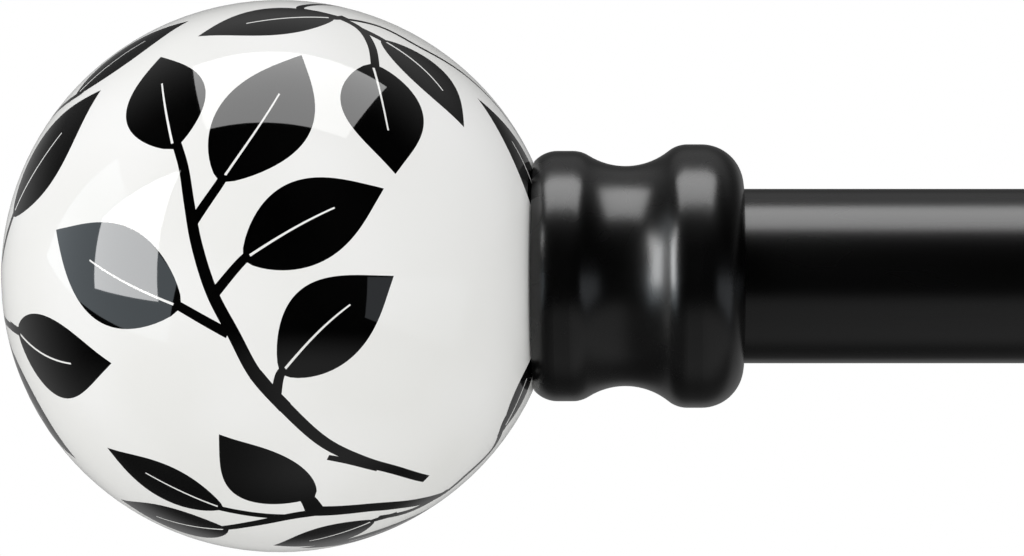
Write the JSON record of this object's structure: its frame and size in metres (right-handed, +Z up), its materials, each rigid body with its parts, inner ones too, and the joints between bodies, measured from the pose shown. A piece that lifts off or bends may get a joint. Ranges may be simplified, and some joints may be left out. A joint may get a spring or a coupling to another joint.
{
  "type": "curtain rod with brackets",
  "caption": "Telescoping curtain rod in two extendable wall brackets, with a leaf-printed ball finial on a turned collar at each end.",
  "frame": {"origin": "centre of the four wall screw holes, in the plane of the wall", "axes": "+X along the rod from the outer tube's end to the inner tube's end, +Y into the wall, +Z up"},
  "size_m": [0.8922, 0.125, 0.08],
  "materials": {
    "glazed_porcelain": "white gloss glaze with a printed black leafy branch",
    "satin_black_zinc": "satin black powder coat",
    "satin_black_steel": "satin black enamel on drawn steel",
    "zinc_plated_steel": "bright zinc plating",
    "black_rubber": "matte moulded rubber",
    "black_screw_steel": "black oxide, knurled",
    "natural_nylon": "uncoloured moulded nylon",
    "black_nylon": "moulded black nylon"
  },
  "bodies": {
    "wall_brackets": {"left_wall_plate": "satin_black_zinc", "left_arm_sleeve": "satin_black_zinc", "left_sleeve_screw": "zinc_plated_steel", "right_wall_plate": "satin_black_zinc", "right_arm_sleeve": "satin_black_zinc", "right_sleeve_screw": "zinc_plated_steel"},
    "left_arm": {"left_arm_bar": "satin_black_steel", "left_cradle": "satin_black_zinc"},
    "right_arm": {"right_arm_bar": "satin_black_steel", "right_cradle": "satin_black_zinc"},
    "outer_rod": {"outer_tube": "satin_black_steel", "outer_tube_plug": "black_nylon", "outer_plug_nut": "zinc_plated_steel", "guide_ring": "black_nylon"},
    "inner_rod": {"inner_tube": "satin_black_steel", "inner_tube_glide": "black_nylon", "inner_tube_adapter": "black_nylon", "adapter_nut": "zinc_plated_steel"},
    "left_washer": {"left_finial_washer": "black_rubber"},
    "left_finial": {"left_finial_ball": "glazed_porcelain", "left_finial_collar": "satin_black_zinc", "left_finial_stud": "zinc_plated_steel"},
    "left_rod_lock_tip": {"left_rod_lock_tip": "natural_nylon"},
    "left_rod_lock_screw": {"left_rod_lock_screw": "black_screw_steel"},
    "left_arm_lock_tip": {"left_arm_lock_tip": "natural_nylon"},
    "left_arm_lock_screw": {"left_arm_lock_screw": "black_screw_steel"},
    "right_washer": {"right_finial_washer": "black_rubber"},
    "right_finial": {"right_finial_ball": "glazed_porcelain", "right_finial_collar": "satin_black_zinc", "right_finial_stud": "zinc_plated_steel"},
    "right_rod_lock_tip": {"right_rod_lock_tip": "natural_nylon"},
    "right_rod_lock_screw": {"right_rod_lock_screw": "black_screw_steel"},
    "right_arm_lock_tip": {"right_arm_lock_tip": "natural_nylon"},
    "right_arm_lock_screw": {"right_arm_lock_screw": "black_screw_steel"}
  },
  "joints": [
    {"name": "left_arm_slide", "type": "slide", "parent": "wall_brackets", "child": "left_arm", "axis": [0, -1, 0], "range_m": [0, 0.028]},
    {"name": "right_arm_slide", "type": "slide", "parent": "wall_brackets", "child": "right_arm", "axis": [0, -1, 0], "range_m": [0, 0.028]},
    {"name": "rod_lift", "type": "slide", "parent": "left_arm", "child": "outer_rod", "axis": [0, 0, 1], "range_m": [0, 0.03]},
    {"name": "telescope", "type": "slide", "parent": "outer_rod", "child": "inner_rod", "axis": [1, 0, 0], "range_m": [0, 0.508]},
    {"name": "left_finial_travel", "type": "slide", "parent": "outer_rod", "child": "left_washer", "axis": [-1, 0, 0], "range_m": [0, 0.00875]},
    {"name": "left_finial_turn", "type": "hinge", "parent": "left_washer", "child": "left_finial", "pos_m": [-0.3556, -0.085, 0], "axis": [-1, 0, 0], "range_deg": [0, 2520]},
    {"name": "left_rod_lock_travel", "type": "slide", "parent": "left_arm", "child": "left_rod_lock_tip", "axis": [0, -1, 0], "range_m": [0, 0.004]},
    {"name": "left_rod_lock_turn", "type": "hinge", "parent": "left_rod_lock_tip", "child": "left_rod_lock_screw", "pos_m": [-0.25, -0.098, 0], "axis": [0, -1, 0], "range_deg": [0, 1800]},
    {"name": "left_arm_lock_travel", "type": "slide", "parent": "wall_brackets", "child": "left_arm_lock_tip", "axis": [0, 0, -1], "range_m": [0, 0.004]},
    {"name": "left_arm_lock_turn", "type": "hinge", "parent": "left_arm_lock_tip", "child": "left_arm_lock_screw", "pos_m": [-0.25, -0.043, -0.0053], "axis": [0, 0, -1], "range_deg": [0, 1800]},
    {"name": "right_finial_travel", "type": "slide", "parent": "inner_rod", "child": "right_washer", "axis": [1, 0, 0], "range_m": [0, 0.00875]},
    {"name": "right_finial_turn", "type": "hinge", "parent": "right_washer", "child": "right_finial", "pos_m": [0.3556, -0.085, 0], "axis": [1, 0, 0], "range_deg": [0, 2520]},
    {"name": "right_rod_lock_travel", "type": "slide", "parent": "right_arm", "child": "right_rod_lock_tip", "axis": [0, -1, 0], "range_m": [0, 0.004]},
    {"name": "right_rod_lock_turn", "type": "hinge", "parent": "right_rod_lock_tip", "child": "right_rod_lock_screw", "pos_m": [0.25, -0.098, 0], "axis": [0, -1, 0], "range_deg": [0, 1800]},
    {"name": "right_arm_lock_travel", "type": "slide", "parent": "wall_brackets", "child": "right_arm_lock_tip", "axis": [0, 0, -1], "range_m": [0, 0.004]},
    {"name": "right_arm_lock_turn", "type": "hinge", "parent": "right_arm_lock_tip", "child": "right_arm_lock_screw", "pos_m": [0.25, -0.043, -0.0053], "axis": [0, 0, -1], "range_deg": [0, 1800]}
  ],
  "couplings": [
    {"joint": "right_arm_slide", "follows": "left_arm_slide", "ratio": 1},
    {"joint": "left_finial_travel", "follows": "left_finial_turn", "m_per_rad": 0.00019894},
    {"joint": "left_rod_lock_travel", "follows": "left_rod_lock_turn", "m_per_rad": 0.00012732},
    {"joint": "left_arm_lock_travel", "follows": "left_arm_lock_turn", "m_per_rad": 0.00012732},
    {"joint": "right_finial_travel", "follows": "right_finial_turn", "m_per_rad": 0.00019894},
    {"joint": "right_rod_lock_travel", "follows": "right_rod_lock_turn", "m_per_rad": 0.00012732},
    {"joint": "right_arm_lock_travel", "follows": "right_arm_lock_turn", "m_per_rad": 0.00012732}
  ]
}
